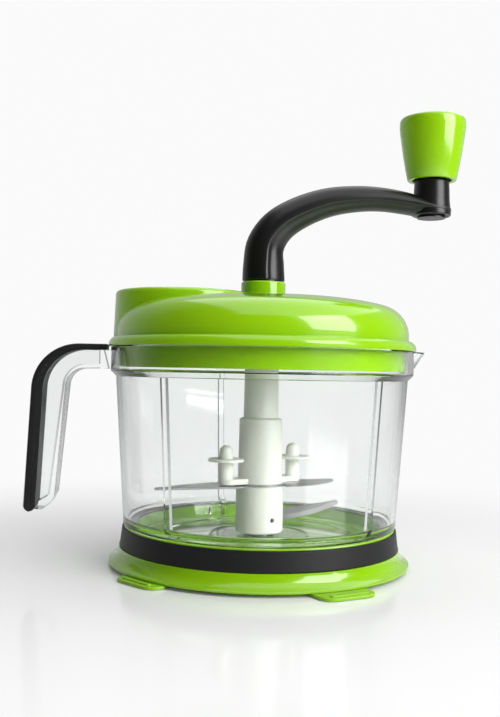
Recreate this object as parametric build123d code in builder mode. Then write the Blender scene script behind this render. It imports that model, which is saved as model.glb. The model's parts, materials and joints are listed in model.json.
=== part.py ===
from build123d import *
import os
from math import acos, asin, cos, pi, radians, sin, tan

# Crank food chopper, in millimetres. The origin is on the bowl's axis at the table,
# +Z up, the pouring spout at +X, the handle at -X.

# ---- fits ----
turn_gap = 0.06         # radial clearance of a shaft that turns in its bore
seat_gap = 0.30         # side clearance of pieces that lift apart
face_gap = 0.40         # end clearance beside turning faces

# ---- bowl, whose collar and rim the other pieces follow ----
collar_radius = 83.0
collar_wall = 2.6
collar_height = 12.0
collar_flare = 4.0          # height over which the wall widens to the collar
collar_step = 3.0
bowl_rim = 117.0
bowl_wall = 2.5
bowl_bottom = 12.5
wall_flare = 5.3            # the wall is this much wider at its top
foot_step = 6.5             # the foot stands in from the wall
wall_top_radius = collar_radius - collar_step
wall_bottom_radius = wall_top_radius - wall_flare
foot_radius = wall_bottom_radius - foot_step
foot_taper = 1.6
foot_cove = 2.4
foot_shoulder = 3.3
collar_bottom = bowl_rim - collar_height
wall_top = collar_bottom - collar_flare
rib_angles = (104.0, 226.0, 313.0)
rib_width = 3.4
rib_depth = 2.2
floor_rings = (52.0, 27.0)
ring_height = 0.7
ring_width = 2.0
boss_radius = 8.5
boss_height = 1.6
pivot_radius = 3.0
pivot_top = 64.0
spout_overhang = 9.0
spout_reach = collar_radius + spout_overhang
spout_half_width = 13.0
spout_depth = 14.0
spout_bottom = bowl_rim - spout_depth
spout_wall = 2.4
spout_back = 5.0
bracket_overhang = 3.4
bracket_reach = collar_radius + bracket_overhang
bracket_width = 22.0
bracket_depth = 12.2
bracket_bottom = bowl_rim - bracket_depth
bracket_rake = 2.6

# ---- base ----
dish_play = 3.2             # between the foot of the bowl and the dish
dish_wall = 1.7
dish_inner_radius = foot_radius + dish_play
dish_floor = 12.1
dish_floor_thickness = 2.6
band_seat_radius = dish_inner_radius + dish_wall
band_bottom = 9.8
band_height = 10.4
band_thickness = 3.1        # the band is slightly wider at its lower edge
band_top_thickness = 1.9
band_radius = band_seat_radius + band_thickness
band_top_radius = band_seat_radius + band_top_thickness
band_edge = 0.5
rim_ledge = 0.9
rim_radius = band_seat_radius + rim_ledge
rim_lip = 0.7               # the dish rim covers the band by this height
skirt_step = 3.5
skirt_flare = 5.4
skirt_top_radius = band_seat_radius + skirt_step
skirt_radius = skirt_top_radius + skirt_flare
skirt_bottom = 1.6
skirt_rim = 1.3
skirt_wall = 2.4
groove_depth = 1.1          # upright grooves for the foot lugs of the bowl
lug_width = 9.4
lug_height = 4.4
lug_drop = 1.4
lug_count = 3
lug_angle = 107.0
lip_play = 1.0
lip_radius = skirt_radius - skirt_wall - lip_play       # edge of the suction cup on the table
lip_thickness = 1.2
lip_width = 12.0            # flat ring that touches the table
cup_hub_radius = 10.0
cup_hub_bottom = 3.4
cup_hub_thickness = 2.6
tab_length = 10.5
tab_reach = skirt_radius + tab_length
tab_width = 31.0
tab_thickness = 1.2
tab_corner = 8.5
tab_angles = (-67.0, -140.0)
tab_bar_width = 2.4
tab_bar_height = 0.7
screw_shank_radius = 1.9
screw_head_radius = 3.6
screw_head_height = 1.2
screw_flange_radius = 7.0
screw_flange_height = 0.8

# ---- lid ----
flange_overhang = 1.2
flange_radius = collar_radius + flange_overhang
flange_height = 5.4
lid_wall = 2.5
dome_step = 4.0
dome_foot_radius = flange_radius - dome_step
skirt_play = 1.8            # between the lid skirt and the collar
lid_skirt_radius = collar_radius - collar_wall - skirt_play
lid_skirt_depth = 11.0
lid_skirt_bottom = bowl_rim - lid_skirt_depth
dome_rise = 27.8
dome_top = bowl_rim + dome_rise
crown_radius = 36.0         # the dome is level out to here
brow_width = 16.5
brow_inset = 13.0
brow_drop = 3.5
neck_radius = 37.2
neck_margin = 3.2
neck_offset = flange_radius - neck_radius - neck_margin
neck_rise = 2.6
neck_top = dome_top + neck_rise
neck_wall = 2.6
neck_draft = 1.0
cap_ledge = 1.6
cap_thickness = 1.4
cap_grip_length = 30.0
cap_grip_width = 5.0
cap_grip_height = 1.0
cap_post_gap = 0.8
collar_post_radius = 12.3
collar_post_rise = 9.5
collar_post_top = dome_top + collar_post_rise
collar_bead = 0.9
collar_bead_height = 2.0

# ---- handle ----
handle_width = 20.0
handle_rise = 1.0
handle_top = bowl_rim + handle_rise
handle_corner = 25.0
handle_stand = 41.4
handle_lean = 2.8
handle_depth_top = 18.9
handle_depth_bottom = 16.6
handle_out_top = collar_radius + handle_stand           # outside of the grip below its corner
handle_out_bottom = handle_out_top + handle_lean        # outside of the grip at its lower end
handle_bottom = 28.0
handle_in_top = handle_out_top - handle_depth_top       # finger side of the clear body
handle_in_bottom = handle_out_bottom - handle_depth_bottom
handle_arm_depth = 13.5
handle_wall = 2.5
handle_crook = 9.5
handle_edge = 1.0
grip_top_thickness = 3.2
grip_side_thickness = 6.4
grip_overlap = 0.5
grip_gap = 0.6
grip_start = flange_radius + grip_gap
grip_edge = 1.2

# ---- gear train ----
gear_module = 1.0
ring_teeth = 36
planet_teeth = 12
sun_teeth = 12
planet_count = 3
pressure_angle = radians(25)
tooth_addendum = 0.8
tooth_dedendum = 1.05
tooth_slack = 0.16          # backlash on the pitch circle
gear_rim = 2.0
gear_height = 7.4
ring_web = 2.6
housing_wall = 2.0
cover_thickness = 3.0
cover_boss_radius = 3.0
cover_boss_offset = 25.8
cover_screw_sink = 0.5
cover_screw_head_height = 1.6
housing_play = 1.7          # above the web of the drive gear
ring_play = 0.8             # round the drive gear
cover_screw_radius = 1.3
cover_screw_head = 2.5
cover_screw_length = 10.0
planet_pin_radius = 1.8
planet_pad = 1.4            # width and height of the ring that a planet runs on
planet_pad_height = 3.0
shaft_radius = 8.0
shaft_bore = 4.4
drive_square = 10.4
drive_square_length = 11.0
spindle_radius = 5.0
spindle_collar = 5.5        # the spindle rests on the cover by this collar
sleeve_wall = 2.6
sleeve_length = 8.0
spindle_square = 7.0

# ---- crank ----
crank_reach = 94.8
washer_thickness = 0.8
arm_foot = collar_post_top + washer_thickness
arm_foot_radius = 11.8
arm_rise = 46.3
post_drop = 7.8
post_height = 19.8
post_bottom = arm_foot + arm_rise - post_drop
post_top = post_bottom + post_height
post_radius = 8.9
post_foot_radius = 10.9
washer_radius = 10.0
axle_radius = 3.0
axle_head_radius = 4.6
axle_head_height = 1.6
plug_radius = 7.9
plug_lap = 1.6
plug_proud = 0.5
plug_stem = 2.4
crank_screw_radius = 1.9
crank_screw_head = 3.8
crank_screw_head_height = 2.4
crank_screw_hex = 1.7
crank_screw_sink = 1.5
crank_screw_length = 27.0

# ---- knob ----
knob_lap = 0.7              # the post reaches this far into the knob's mouth
knob_bottom = post_top - knob_lap
knob_height = 36.8
knob_radius = 18.5
knob_foot_radius = 13.4
knob_wall = 2.6
knob_mouth = 10.6
knob_core = 6.0
knob_core_gap = 2.8
knob_rise = post_top + knob_core_gap
knob_crest = 4.5
cap_disc_radius = 13.0
cap_disc_thickness = 2.2

# ---- blade unit ----
hub_bottom = bowl_bottom + bowl_wall + boss_height
hub_radius = 13.1
hub_top = 42.4
blade_thickness = 1.2
column_radius = 12.2
column_drop = 4.0           # the column ends this far below the bowl rim
column_neck_length = 34.5
column_neck_radius = 9.6
column_top = bowl_rim - column_drop
column_step = column_top - column_neck_length
tenon_radius = 7.0
tenon_height = 8.0
socket_gap = 0.25
socket_depth = 10.5
spindle_end = column_top - socket_depth
lug_reach = 26.0
lug_thickness = 2.8
blade_lug_width = 10.5
stud_offset = 22.3
stud_angle = 28.6
stud_radius = 3.9
stud_neck = 9.6             # from the lug to the thumb disc
stud_rise = 8.7             # from the disc to the top of the stud
stud_peg_radius = 2.4
stud_taper = 0.3
stud_dome = 2.6
disc_radius = 9.6
disc_thickness = 1.4
upper_reach = 60.0
upper_short_reach = 47.0
upper_chord = 21.0
upper_angle = 11.0
upper_pitch = 1.0
upper_sweep = 7.0
lower_reach = 62.0
lower_chord = 14.4
lower_angle = 30.0
lower_rise = 9.6
lower_height = hub_bottom + lower_rise
lower_pitch = 13.0
lower_sweep = 4.0
blade_tip = 3.0
tang_inner = 5.2
pin_radius = 1.4
pin_length = 4.4
pin_sink = 1.6
pin_below = 2.2
pocket_width = 11.0
pocket_height = 5.0
pocket_depth = 0.8

os.makedirs("parts", exist_ok=True)


def save(piece, name):
    """Label a finished piece and write its STEP file."""
    piece.part.label = name
    export_step(piece.part, f"parts/{name}.step")


def between(low, high, share):
    """The value a share of the way from low to high."""
    return low + (high - low) * share


def dome_line(radius, top, rise):
    """A ball-shaped end: an arc from the wall up to the axis."""
    ball = (radius**2 + rise**2) / (2 * rise)
    half = asin(radius / ball) / 2
    middle = (ball * sin(half), top - ball + ball * cos(half))
    return ThreePointArc((radius, top - rise), middle, (0, top))


# =====================================================================  base
dish_bottom = dish_floor - dish_floor_thickness
band_top = band_bottom + band_height
rim_top = band_top + rim_lip
cup_hub_top = cup_hub_bottom + cup_hub_thickness

with BuildPart() as base_dish:
    with BuildSketch(Plane.XZ):
        with BuildLine():
            floor_line = Line((screw_shank_radius, dish_floor), (dish_inner_radius - 2, dish_floor))
            cove = RadiusArc(floor_line @ 1, (dish_inner_radius, dish_floor + 2), -2)
            rim = Polyline(
                cove @ 1,
                (dish_inner_radius, rim_top),
                (rim_radius, rim_top),
                (rim_radius, band_top),
                (band_seat_radius, band_top),
                (band_seat_radius, band_bottom),
                (skirt_top_radius, band_bottom),
            )
            flare = ThreePointArc(
                rim @ 1,
                (between(skirt_top_radius, skirt_radius, 0.22), between(band_bottom, skirt_bottom, 0.46)),
                (skirt_radius - 0.5 * skirt_rim, skirt_bottom + skirt_rim),
            )
            Polyline(
                flare @ 1,
                (skirt_radius, skirt_bottom + 0.6 * skirt_rim),
                (skirt_radius, skirt_bottom),
                (skirt_radius - skirt_wall, skirt_bottom),
                (skirt_top_radius - skirt_wall, dish_bottom - 1.2),
                (skirt_top_radius - 2 * skirt_wall, dish_bottom),
                (cup_hub_radius - 2, dish_bottom),
                (cup_hub_radius - 2, cup_hub_top),
                (screw_shank_radius, cup_hub_top),
                floor_line @ 0,
            )
        make_face()
    revolve(axis=Axis.Z)
    # grooves that guide the foot lugs of the bowl
    with BuildSketch(Plane.XY.offset(dish_floor + 2)):
        with PolarLocations(dish_inner_radius, lug_count, start_angle=lug_angle):
            Rectangle(2 * groove_depth, lug_width + 2 * seat_gap)
    extrude(amount=rim_top - dish_floor, mode=Mode.SUBTRACT)
    rim_edges = base_dish.edges().filter_by(GeomType.CIRCLE).group_by(Axis.Z)[-1]
    fillet(rim_edges.sort_by(SortBy.RADIUS)[-1], rim_lip * 0.6)
save(base_dish, "base_dish")

with BuildPart() as grip_band:
    with BuildSketch(Plane.XZ):
        Polygon(
            (band_seat_radius, band_bottom),
            (band_radius, band_bottom),
            (band_top_radius, band_top),
            (band_seat_radius, band_top),
            align=None,
        )
    revolve(axis=Axis.Z)
    fillet(grip_band.edges().filter_by(GeomType.CIRCLE).sort_by(SortBy.RADIUS)[-2:], band_edge)
save(grip_band, "grip_band")

with BuildPart() as suction_cup:
    with BuildSketch(Plane.XZ):
        with BuildLine():
            hollow = ThreePointArc(
                (lip_radius - lip_width, 0),
                (lip_radius * 0.45, cup_hub_bottom - 0.8),
                (cup_hub_radius, cup_hub_bottom),
            )
            Polyline(
                hollow @ 1,
                (screw_shank_radius, cup_hub_bottom),
                (screw_shank_radius, cup_hub_top),
                (cup_hub_radius, cup_hub_top),
            )
            crown = ThreePointArc(
                (cup_hub_radius, cup_hub_top),
                (lip_radius * 0.5, cup_hub_top - 0.6),
                (skirt_radius - skirt_wall - 4, lip_thickness + 0.6),
            )
            lip_top = Line(crown @ 1, (lip_radius - 0.8, lip_thickness))
            edge = ThreePointArc(lip_top @ 1, (lip_radius, lip_thickness / 2), (lip_radius - 0.8, 0))
            Line(edge @ 1, hollow @ 0)
        make_face()
    revolve(axis=Axis.Z)
    # release tabs: rounded tongues with a raised end bar
    with BuildSketch(Plane.XY):
        for tab_angle in tab_angles:
            with Locations(Location((0, 0, 0), (0, 0, tab_angle))):
                with Locations((between(lip_radius - 8, tab_reach, 0.5), 0)):
                    RectangleRounded(tab_reach - lip_radius + 8, tab_width, tab_corner)
    extrude(amount=tab_thickness)
    with BuildSketch(Plane.XY.offset(tab_thickness)):
        for tab_angle in tab_angles:
            with Locations(Location((0, 0, 0), (0, 0, tab_angle))):
                with Locations((tab_reach - 1.5 * tab_bar_width, 0)):
                    RectangleRounded(tab_bar_width, tab_width - tab_corner, 0.45 * tab_bar_width)
    extrude(amount=tab_bar_height)
save(suction_cup, "suction_cup")

with BuildPart() as cup_screw:
    with BuildSketch(Plane.XZ):
        Polygon(
            (0, cup_hub_bottom - screw_flange_height - screw_head_height),
            (screw_head_radius, cup_hub_bottom - screw_flange_height - screw_head_height),
            (screw_head_radius, cup_hub_bottom - screw_flange_height),
            (screw_flange_radius, cup_hub_bottom - screw_flange_height),
            (screw_flange_radius, cup_hub_bottom),
            (screw_shank_radius, cup_hub_bottom),
            (screw_shank_radius, dish_floor - 0.4),
            (0, dish_floor - 0.4),
            align=None,
        )
    revolve(axis=Axis.Z)
save(cup_screw, "cup_screw")

# =====================================================================  bowl
bowl_floor = bowl_bottom + bowl_wall
wall_inner_bottom = wall_bottom_radius - bowl_wall
wall_inner_top = wall_top_radius - bowl_wall
collar_inner = collar_radius - collar_wall
foot_top_radius = foot_radius + 0.4
foot_inner = foot_radius - bowl_wall
spout_centre = collar_inner - spout_back
wall_bottom = rim_top + foot_shoulder
inner_step_top = wall_bottom + 2.0
spout_radius = spout_reach - spout_centre


def spout_horn(inset):
    """The pouring spout as a leaning horn, inset for its hollow."""
    with BuildPart() as horn:
        with BuildSketch(Plane.XY.offset(spout_bottom + inset)):
            with Locations((spout_centre, 0)):
                Ellipse(collar_radius - spout_centre - inset, spout_half_width * 0.45)
        with BuildSketch(Plane.XY.offset(bowl_rim + (0.5 if inset else 0))):
            with Locations((spout_centre, 0)):
                Ellipse(spout_radius - inset, spout_half_width - inset)
        loft(ruled=True)
    return horn.part


with BuildPart() as bowl:
    with BuildSketch(Plane.XZ):
        with BuildLine():
            under = Line((0, bowl_bottom), (foot_radius - foot_taper - 3, bowl_bottom))
            heel = RadiusArc(under @ 1, (foot_radius - foot_taper, bowl_bottom + 3), -3)
            foot = Polyline(
                heel @ 1,
                (foot_top_radius, rim_top),
                (wall_bottom_radius - 0.73 * foot_shoulder, rim_top),
            )
            shoulder = ThreePointArc(
                foot @ 1,
                (wall_bottom_radius - 0.15 * foot_shoulder, rim_top + 0.27 * foot_shoulder),
                (wall_bottom_radius, wall_bottom),
            )
            wall = Line(shoulder @ 1, (wall_top_radius, wall_top))
            flareout = Line(wall @ 1, (collar_radius - 0.2, collar_bottom - 1.2))
            outer = Polyline(
                flareout @ 1,
                (collar_radius, collar_bottom),
                (collar_radius, bowl_rim - 0.6),
                (collar_radius - 0.6, bowl_rim),
                (collar_inner, bowl_rim),
                (collar_inner, collar_bottom - 0.6),
                (wall_inner_top, wall_top + 1.2),
                (wall_inner_bottom, inner_step_top),
            )
            step = ThreePointArc(
                outer @ 1,
                (wall_inner_bottom - 1.2, inner_step_top - 2.0),
                (foot_inner + 0.8, inner_step_top - 3.6),
            )
            sink = Line(step @ 1, (foot_inner - 0.6, bowl_floor + foot_cove))
            corner = RadiusArc(sink @ 1, (foot_inner - 0.6 - foot_cove, bowl_floor), foot_cove)
            inner = Line(corner @ 1, (0, bowl_floor))
            Line(inner @ 1, under @ 0)
        make_face()
    revolve(axis=Axis.Z)
    # rings moulded in the floor and the boss of the pivot pin
    with BuildSketch(Plane.XZ):
        for ring_radius in floor_rings:
            with Locations((ring_radius, bowl_floor)):
                Trapezoid(ring_width, 2 * ring_height, 65)
    revolve(axis=Axis.Z)
    with BuildSketch(Plane.XY.offset(bowl_floor)):
        Circle(boss_radius)
    extrude(amount=boss_height, taper=12)
    # ribs inside the wall, from the floor to the ledge
    with BuildPart(mode=Mode.PRIVATE) as rib:
        with BuildSketch(Plane.XZ):
            Polygon(
                (foot_inner, bowl_floor - 1.0),
                (foot_inner + 1.6, inner_step_top - 4.6),
                (wall_inner_bottom + 0.9, inner_step_top - 2.0),
                (wall_inner_top + 0.9, wall_top),
                (wall_inner_top - rib_depth, wall_top),
                (wall_inner_bottom - rib_depth, inner_step_top),
                (foot_inner - rib_depth, inner_step_top - 3.6),
                (foot_inner - rib_depth - 0.8, bowl_floor - 1.0),
                align=None,
            )
        extrude(amount=rib_width / 2, both=True)
    for rib_angle in rib_angles:
        with Locations(Location((0, 0, 0), (0, 0, rib_angle))):
            add(rib.part)
    # foot lugs that sit in the grooves of the dish
    with BuildSketch(Plane.XY.offset(rim_top - lug_drop - lug_height)):
        with PolarLocations(foot_radius, lug_count, start_angle=lug_angle):
            Rectangle(2 * (dish_inner_radius + groove_depth - seat_gap - foot_radius), lug_width)
    extrude(amount=lug_height)
    # everything above may not fill the cavity: the lugs and horn are trimmed by it
    add(spout_horn(0))
    with BuildSketch(Plane.XY.offset(collar_bottom)):
        Circle(collar_inner)
    extrude(amount=bowl_rim - collar_bottom + 1, mode=Mode.SUBTRACT)
    with BuildSketch(Plane.XY.offset(spout_bottom - 2)):
        Circle(wall_inner_top)
    extrude(amount=bowl_rim - spout_bottom, mode=Mode.SUBTRACT)
    add(spout_horn(spout_wall), mode=Mode.SUBTRACT)
    # bracket that carries the handle
    with BuildSketch(Plane.XZ.offset(-bracket_width / 2)):
        Polygon(
            (-collar_radius + 1, bracket_bottom),
            (-collar_radius + 1, handle_top - grip_top_thickness),
            (-bracket_reach, handle_top - grip_top_thickness),
            (-bracket_reach + bracket_rake, bracket_bottom),
            align=None,
        )
    extrude(amount=bracket_width)
    with Locations((0, 0, hub_bottom)):
        Hole(pivot_radius, depth=hub_bottom - bowl_bottom - 1.0)
save(bowl, "bowl")

with BuildPart() as pivot_pin:
    with BuildSketch(Plane.XY.offset(bowl_bottom + 1.0)):
        Circle(pivot_radius)
    extrude(amount=pivot_top - bowl_bottom - 1.0)
    chamfer(pivot_pin.edges().group_by(Axis.Z)[-1], 0.8)
save(pivot_pin, "pivot_pin")

# =====================================================================  handle
arm_bottom = handle_top - handle_arm_depth


def handle_outline(inset_top, inset_side, start):
    """Outside line of the handle, from the bracket down to its lower end."""
    top = handle_top - inset_top
    side = handle_out_top - inset_side
    bend = handle_corner - max(inset_top, inset_side) / 2
    low = handle_out_bottom - inset_side
    head = Line((-start, top), (-side + bend, top))
    turn = ThreePointArc(
        head @ 1,
        (-side + bend - bend * sin(radians(45)), top - bend + bend * cos(radians(45))),
        (-side, top - bend),
    )
    return head, turn, Line(turn @ 1, (-low, handle_bottom + 4))


def side_edges(solid, lines, half_width):
    """The edges of an upright profile's lines on both sides of a solid made across Y."""
    spots = [line @ 0.5 for line in lines]
    return solid.edges().filter_by(
        lambda edge: abs(abs((edge @ 0.5).Y) - half_width) < 0.01
        and any(abs((edge @ 0.5).X - spot.X) + abs((edge @ 0.5).Z - spot.Y) < 0.05 for spot in spots)
    )


with BuildPart() as handle_body:
    with BuildSketch(Plane.XZ.offset(-handle_width / 2)):
        with BuildLine():
            head, turn, side = handle_outline(grip_top_thickness, grip_side_thickness, bracket_reach)
            toe = Polyline(
                side @ 1,
                (-handle_out_bottom + grip_side_thickness - 0.5, handle_bottom + 1.5),
                (-between(handle_in_bottom, handle_out_bottom, 0.4), handle_bottom + 1.2),
                (-handle_in_bottom - 2.5, handle_bottom + 4.2),
                (-handle_in_bottom, handle_bottom + 9),
                (-handle_in_top, arm_bottom - handle_crook),
            )
            crook = ThreePointArc(
                toe @ 1,
                (-handle_in_top + 0.29 * handle_crook, arm_bottom - 0.29 * handle_crook),
                (-handle_in_top + handle_crook, arm_bottom),
            )
            Polyline(
                crook @ 1,
                (-bracket_reach + bracket_rake, bracket_bottom),
                head @ 0,
            )
        make_face()
    extrude(amount=handle_width)
    fillet(side_edges(handle_body, (crook,), handle_width / 2), handle_edge)
    # the channel, open to the outside and closed by the grip strip
    with BuildSketch(Plane.XZ.offset(-handle_width / 2 + handle_wall)):
        with BuildLine():
            start = bracket_reach + handle_wall
            head, turn, side = handle_outline(grip_top_thickness - 1, grip_side_thickness - 1, start)
            toe = Polyline(
                side @ 1,
                (-handle_in_bottom - handle_wall - 1.5, handle_bottom + 8),
                (-handle_in_top - handle_wall, arm_bottom - handle_crook),
            )
            crook = ThreePointArc(
                toe @ 1,
                (
                    -handle_in_top + 0.29 * (handle_crook + handle_wall) - handle_wall,
                    arm_bottom + handle_wall - 0.29 * (handle_crook + handle_wall),
                ),
                (-handle_in_top + handle_crook, arm_bottom + handle_wall),
            )
            Polyline(crook @ 1, (-start, bracket_bottom + handle_wall), head @ 0)
        make_face()
    extrude(amount=handle_width - 2 * handle_wall, mode=Mode.SUBTRACT)
save(handle_body, "handle_body")

with BuildPart() as handle_grip:
    with BuildSketch(Plane.XZ.offset(-handle_width / 2 - grip_overlap)):
        with BuildLine():
            head, turn, side = handle_outline(0, 0, grip_start)
            toe = ThreePointArc(
                side @ 1,
                (-handle_out_bottom + 0.7, handle_bottom + 0.9),
                (-handle_out_bottom + 3.6, handle_bottom),
            )
            inner_head, inner_turn, inner_side = handle_outline(
                grip_top_thickness, grip_side_thickness, grip_start
            )
            Line(toe @ 1, (-handle_out_bottom + grip_side_thickness - 0.5, handle_bottom + 1.5))
            Line((-handle_out_bottom + grip_side_thickness - 0.5, handle_bottom + 1.5), inner_side @ 1)
            Line(inner_head @ 0, head @ 0)
        make_face()
    extrude(amount=handle_width + 2 * grip_overlap)
    fillet(side_edges(handle_grip, (head, turn, side, toe), handle_width / 2 + grip_overlap), grip_edge)
save(handle_grip, "handle_grip")

# =====================================================================  lid
ring_pitch = gear_module * ring_teeth / 2
ring_outer = ring_pitch + tooth_dedendum * gear_module + gear_rim
housing_bore = ring_outer + ring_play
housing_radius = housing_bore + housing_wall
dome_under = dome_top - lid_wall
cover_top = dome_under - housing_play - ring_web - face_gap - gear_height - planet_pad_height
flange_top = bowl_rim + flange_height
neck_bore = neck_radius - neck_wall
cap_seat = dome_top


def dome_solid(inset, foot):
    """The dome down to its foot, inset by the wall for its hollow."""
    top = dome_top - inset
    with BuildPart() as dome:
        with BuildSketch(Plane.XZ):
            with BuildLine():
                level = Line((0, top), (crown_radius, top))
                brow = ThreePointArc(
                    level @ 1,
                    (crown_radius + brow_width, top - 0.23 * brow_drop),
                    (dome_foot_radius - brow_inset - inset / 2, top - brow_drop),
                )
                cheek = ThreePointArc(
                    brow @ 1,
                    (
                        dome_foot_radius - 0.29 * brow_inset - inset * 0.9,
                        between(flange_top + 2, top, 0.55) + inset * 0.3,
                    ),
                    (dome_foot_radius - inset, flange_top + 2),
                )
                Polyline(cheek @ 1, (dome_foot_radius - inset, foot), (0, foot), level @ 0)
            make_face()
        revolve(axis=Axis.Z)
    return dome.part


with BuildPart() as lid_shell:
    add(dome_solid(0, bowl_rim))
    # the filler neck stands on the left of the dome, with a rounded lip
    with BuildPart(mode=Mode.PRIVATE) as neck:
        with BuildSketch(Plane.XY.offset(bowl_rim)):
            with Locations((-neck_offset, 0)):
                Circle(neck_radius + neck_draft)
        with BuildSketch(Plane.XY.offset(neck_top)):
            with Locations((-neck_offset, 0)):
                Circle(neck_radius)
        loft(ruled=True)
        fillet(neck.edges().group_by(Axis.Z)[-1], neck_wall * 0.85)
    add(neck.part)
    # flange over the bowl rim and the skirt inside its collar
    with BuildSketch(Plane.XZ):
        with BuildLine():
            lower = Polyline(
                (lid_skirt_radius - lid_wall, flange_top),
                (lid_skirt_radius - lid_wall, lid_skirt_bottom),
                (lid_skirt_radius, lid_skirt_bottom),
                (lid_skirt_radius, bowl_rim),
                (flange_radius, bowl_rim),
                (flange_radius, bowl_rim + 1.6),
            )
            bead = ThreePointArc(
                lower @ 1,
                (flange_radius - 1.1, bowl_rim + 4.0),
                (dome_foot_radius - 0.5, flange_top),
            )
            Line(bead @ 1, lower @ 0)
        make_face()
    revolve(axis=Axis.Z)
    # hollow under the dome, with the gear housing left standing
    with BuildPart(mode=Mode.PRIVATE) as hollow:
        add(dome_solid(lid_wall, bowl_rim - 0.01))
        with BuildSketch(Plane.XY.offset(cover_top)):
            Circle(housing_radius)
            with PolarLocations(cover_boss_offset, 3):
                Circle(cover_boss_radius)
        extrude(amount=dome_top - cover_top, mode=Mode.SUBTRACT)
        # below the flange the hollow is as wide as the skirt allows
    add(hollow.part, mode=Mode.SUBTRACT)
    with BuildSketch(Plane.XY.offset(lid_skirt_bottom - 1)):
        Circle(lid_skirt_radius - lid_wall)
    extrude(amount=bowl_rim - lid_skirt_bottom + 1, mode=Mode.SUBTRACT)
    # filler opening: the neck bore, cut short by the gear housing
    with BuildSketch(Plane.XY.offset(bowl_rim)):
        with Locations((-neck_offset, 0)):
            Circle(neck_bore - cap_ledge)
        Circle(housing_radius + 1.2, mode=Mode.SUBTRACT)
    extrude(amount=cap_seat - bowl_rim, mode=Mode.SUBTRACT)
    with BuildSketch(Plane.XY.offset(cap_seat)):
        with Locations((-neck_offset, 0)):
            Circle(neck_bore)
    extrude(amount=neck_top - cap_seat, mode=Mode.SUBTRACT)
    # crank collar with its bead
    with BuildSketch(Plane.XY.offset(dome_under)):
        Circle(collar_post_radius)
    extrude(amount=collar_post_top - dome_under)
    fillet(lid_shell.edges().group_by(Axis.Z)[-1], 1.0)
    with BuildSketch(Plane.XY.offset(dome_top - 0.2)):
        Circle(collar_post_radius + collar_bead)
    extrude(amount=collar_bead_height, taper=20)
    # gear housing bore, shaft bore and the holes of the cover screws
    with BuildSketch(Plane.XY.offset(cover_top)):
        Circle(housing_bore)
    extrude(amount=dome_under - cover_top, mode=Mode.SUBTRACT)
    with BuildSketch(Plane.XY.offset(dome_under - 1)):
        Circle(shaft_radius + turn_gap)
    extrude(amount=collar_post_top - dome_under + 2, mode=Mode.SUBTRACT)
    with BuildSketch(Plane.XY.offset(cover_top)):
        with PolarLocations(cover_boss_offset, 3):
            Circle(cover_screw_radius)
    extrude(amount=cover_screw_length - cover_thickness, mode=Mode.SUBTRACT)
save(lid_shell, "lid_shell")

cover_bottom = cover_top - cover_thickness
planet_orbit = gear_module * (sun_teeth + planet_teeth) / 2
gear_bottom = cover_top + planet_pad_height
gear_top = gear_bottom + gear_height

with BuildPart() as gear_cover:
    with BuildSketch(Plane.XY.offset(cover_bottom)):
        Circle(housing_radius)
        with PolarLocations(cover_boss_offset, 3):
            Circle(cover_boss_radius)
    extrude(amount=cover_thickness)
    with BuildSketch(Plane.XY.offset(cover_bottom)):
        Circle(spindle_radius + turn_gap + sleeve_wall)
    extrude(amount=-sleeve_length)
    # raised pads that the planets run on
    with BuildSketch(Plane.XY.offset(cover_bottom)):
        with PolarLocations(planet_orbit, planet_count):
            Circle(planet_pin_radius + planet_pad)
    extrude(amount=gear_bottom - cover_bottom)
    with BuildSketch(Plane.XY.offset(cover_bottom - sleeve_length)):
        Circle(spindle_radius + turn_gap)
    extrude(amount=sleeve_length + cover_thickness, mode=Mode.SUBTRACT)
    with BuildSketch(Plane.XY.offset(cover_bottom)):
        with PolarLocations(cover_boss_offset, 3):
            Circle(cover_screw_radius)
        with PolarLocations(planet_orbit, planet_count):
            Circle(planet_pin_radius)
    extrude(amount=gear_bottom - cover_bottom, mode=Mode.SUBTRACT)
save(gear_cover, "gear_cover")

with BuildPart() as cover_screws:
    with BuildSketch(Plane.XY.offset(cover_bottom - cover_screw_head_height)):
        with PolarLocations(cover_boss_offset, 3):
            Circle(cover_screw_head)
    extrude(amount=cover_screw_head_height)
    with BuildSketch(Plane.XY.offset(cover_bottom)):
        with PolarLocations(cover_boss_offset, 3):
            Circle(cover_screw_radius)
    extrude(amount=cover_screw_length - cover_screw_sink)
save(cover_screws, "cover_screws")

with BuildPart() as planet_pins:
    with BuildSketch(Plane.XY.offset(cover_bottom)):
        with PolarLocations(planet_orbit, planet_count):
            Circle(planet_pin_radius)
    extrude(amount=gear_top - cover_bottom - 0.2)
save(planet_pins, "planet_pins")

with BuildPart() as filler_cap:
    with BuildSketch(Plane.XY.offset(cap_seat)):
        with Locations((-neck_offset, 0)):
            Circle(neck_bore - seat_gap)
        # flat side beside the crank collar
        with Locations((-collar_post_radius - collar_bead - cap_post_gap, 0)):
            Rectangle(2 * neck_bore, 2 * neck_bore, align=(Align.MIN, Align.CENTER), mode=Mode.SUBTRACT)
    extrude(amount=cap_thickness)
    with BuildSketch(Plane.XY.offset(cap_seat + cap_thickness)):
        with Locations((-neck_offset, 0)):
            RectangleRounded(cap_grip_width, cap_grip_length, cap_grip_width / 2 - 0.1)
    extrude(amount=cap_grip_height, taper=8)
save(filler_cap, "filler_cap")


# =====================================================================  gears
def tooth_half_angle(teeth, radius, slack):
    """Half the angle that an involute tooth takes at a radius, in radians."""
    pitch_radius = gear_module * teeth / 2
    roll = acos(min(1.0, pitch_radius * cos(pressure_angle) / radius))
    involute = tan(pressure_angle) - pressure_angle - (tan(roll) - roll)
    return pi / (2 * teeth) + involute - slack / (2 * pitch_radius)


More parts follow.
